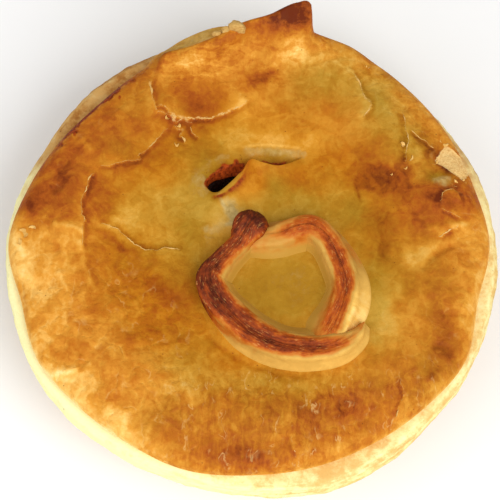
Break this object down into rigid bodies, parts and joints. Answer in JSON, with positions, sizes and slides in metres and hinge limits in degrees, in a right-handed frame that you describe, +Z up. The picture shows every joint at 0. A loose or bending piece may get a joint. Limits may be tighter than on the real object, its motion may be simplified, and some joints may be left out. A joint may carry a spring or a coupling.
{
  "type": "mince pie",
  "caption": "Round puff pastry meat pie with a pale tapered case, a browned lid with a slit vent, a fold turned up at the far edge and a ring of pastry on top.",
  "frame": {"origin": "middle of the flat base, on the surface that the pie stands on", "axes": "+Z up through the lid, +Y towards the turned-up fold at the far edge, +X to the right with the fold at the back"},
  "size_m": [0.1203, 0.1214, 0.0452],
  "materials": {
    "case_pastry": "pale baked pastry, dry and matt, with faint layers",
    "mince_filling": "wet dark brown mince in gravy",
    "lid_pastry": "egg-glazed golden brown puff pastry, soft sheen, darker on its high places",
    "ring_pastry": "dark red-brown baked crest over pale sides, fine flaky streaks"
  },
  "bodies": {
    "root": {"case": "case_pastry", "mince": "mince_filling", "lid": "lid_pastry", "ring": "ring_pastry"}
  },
  "joints": []
}
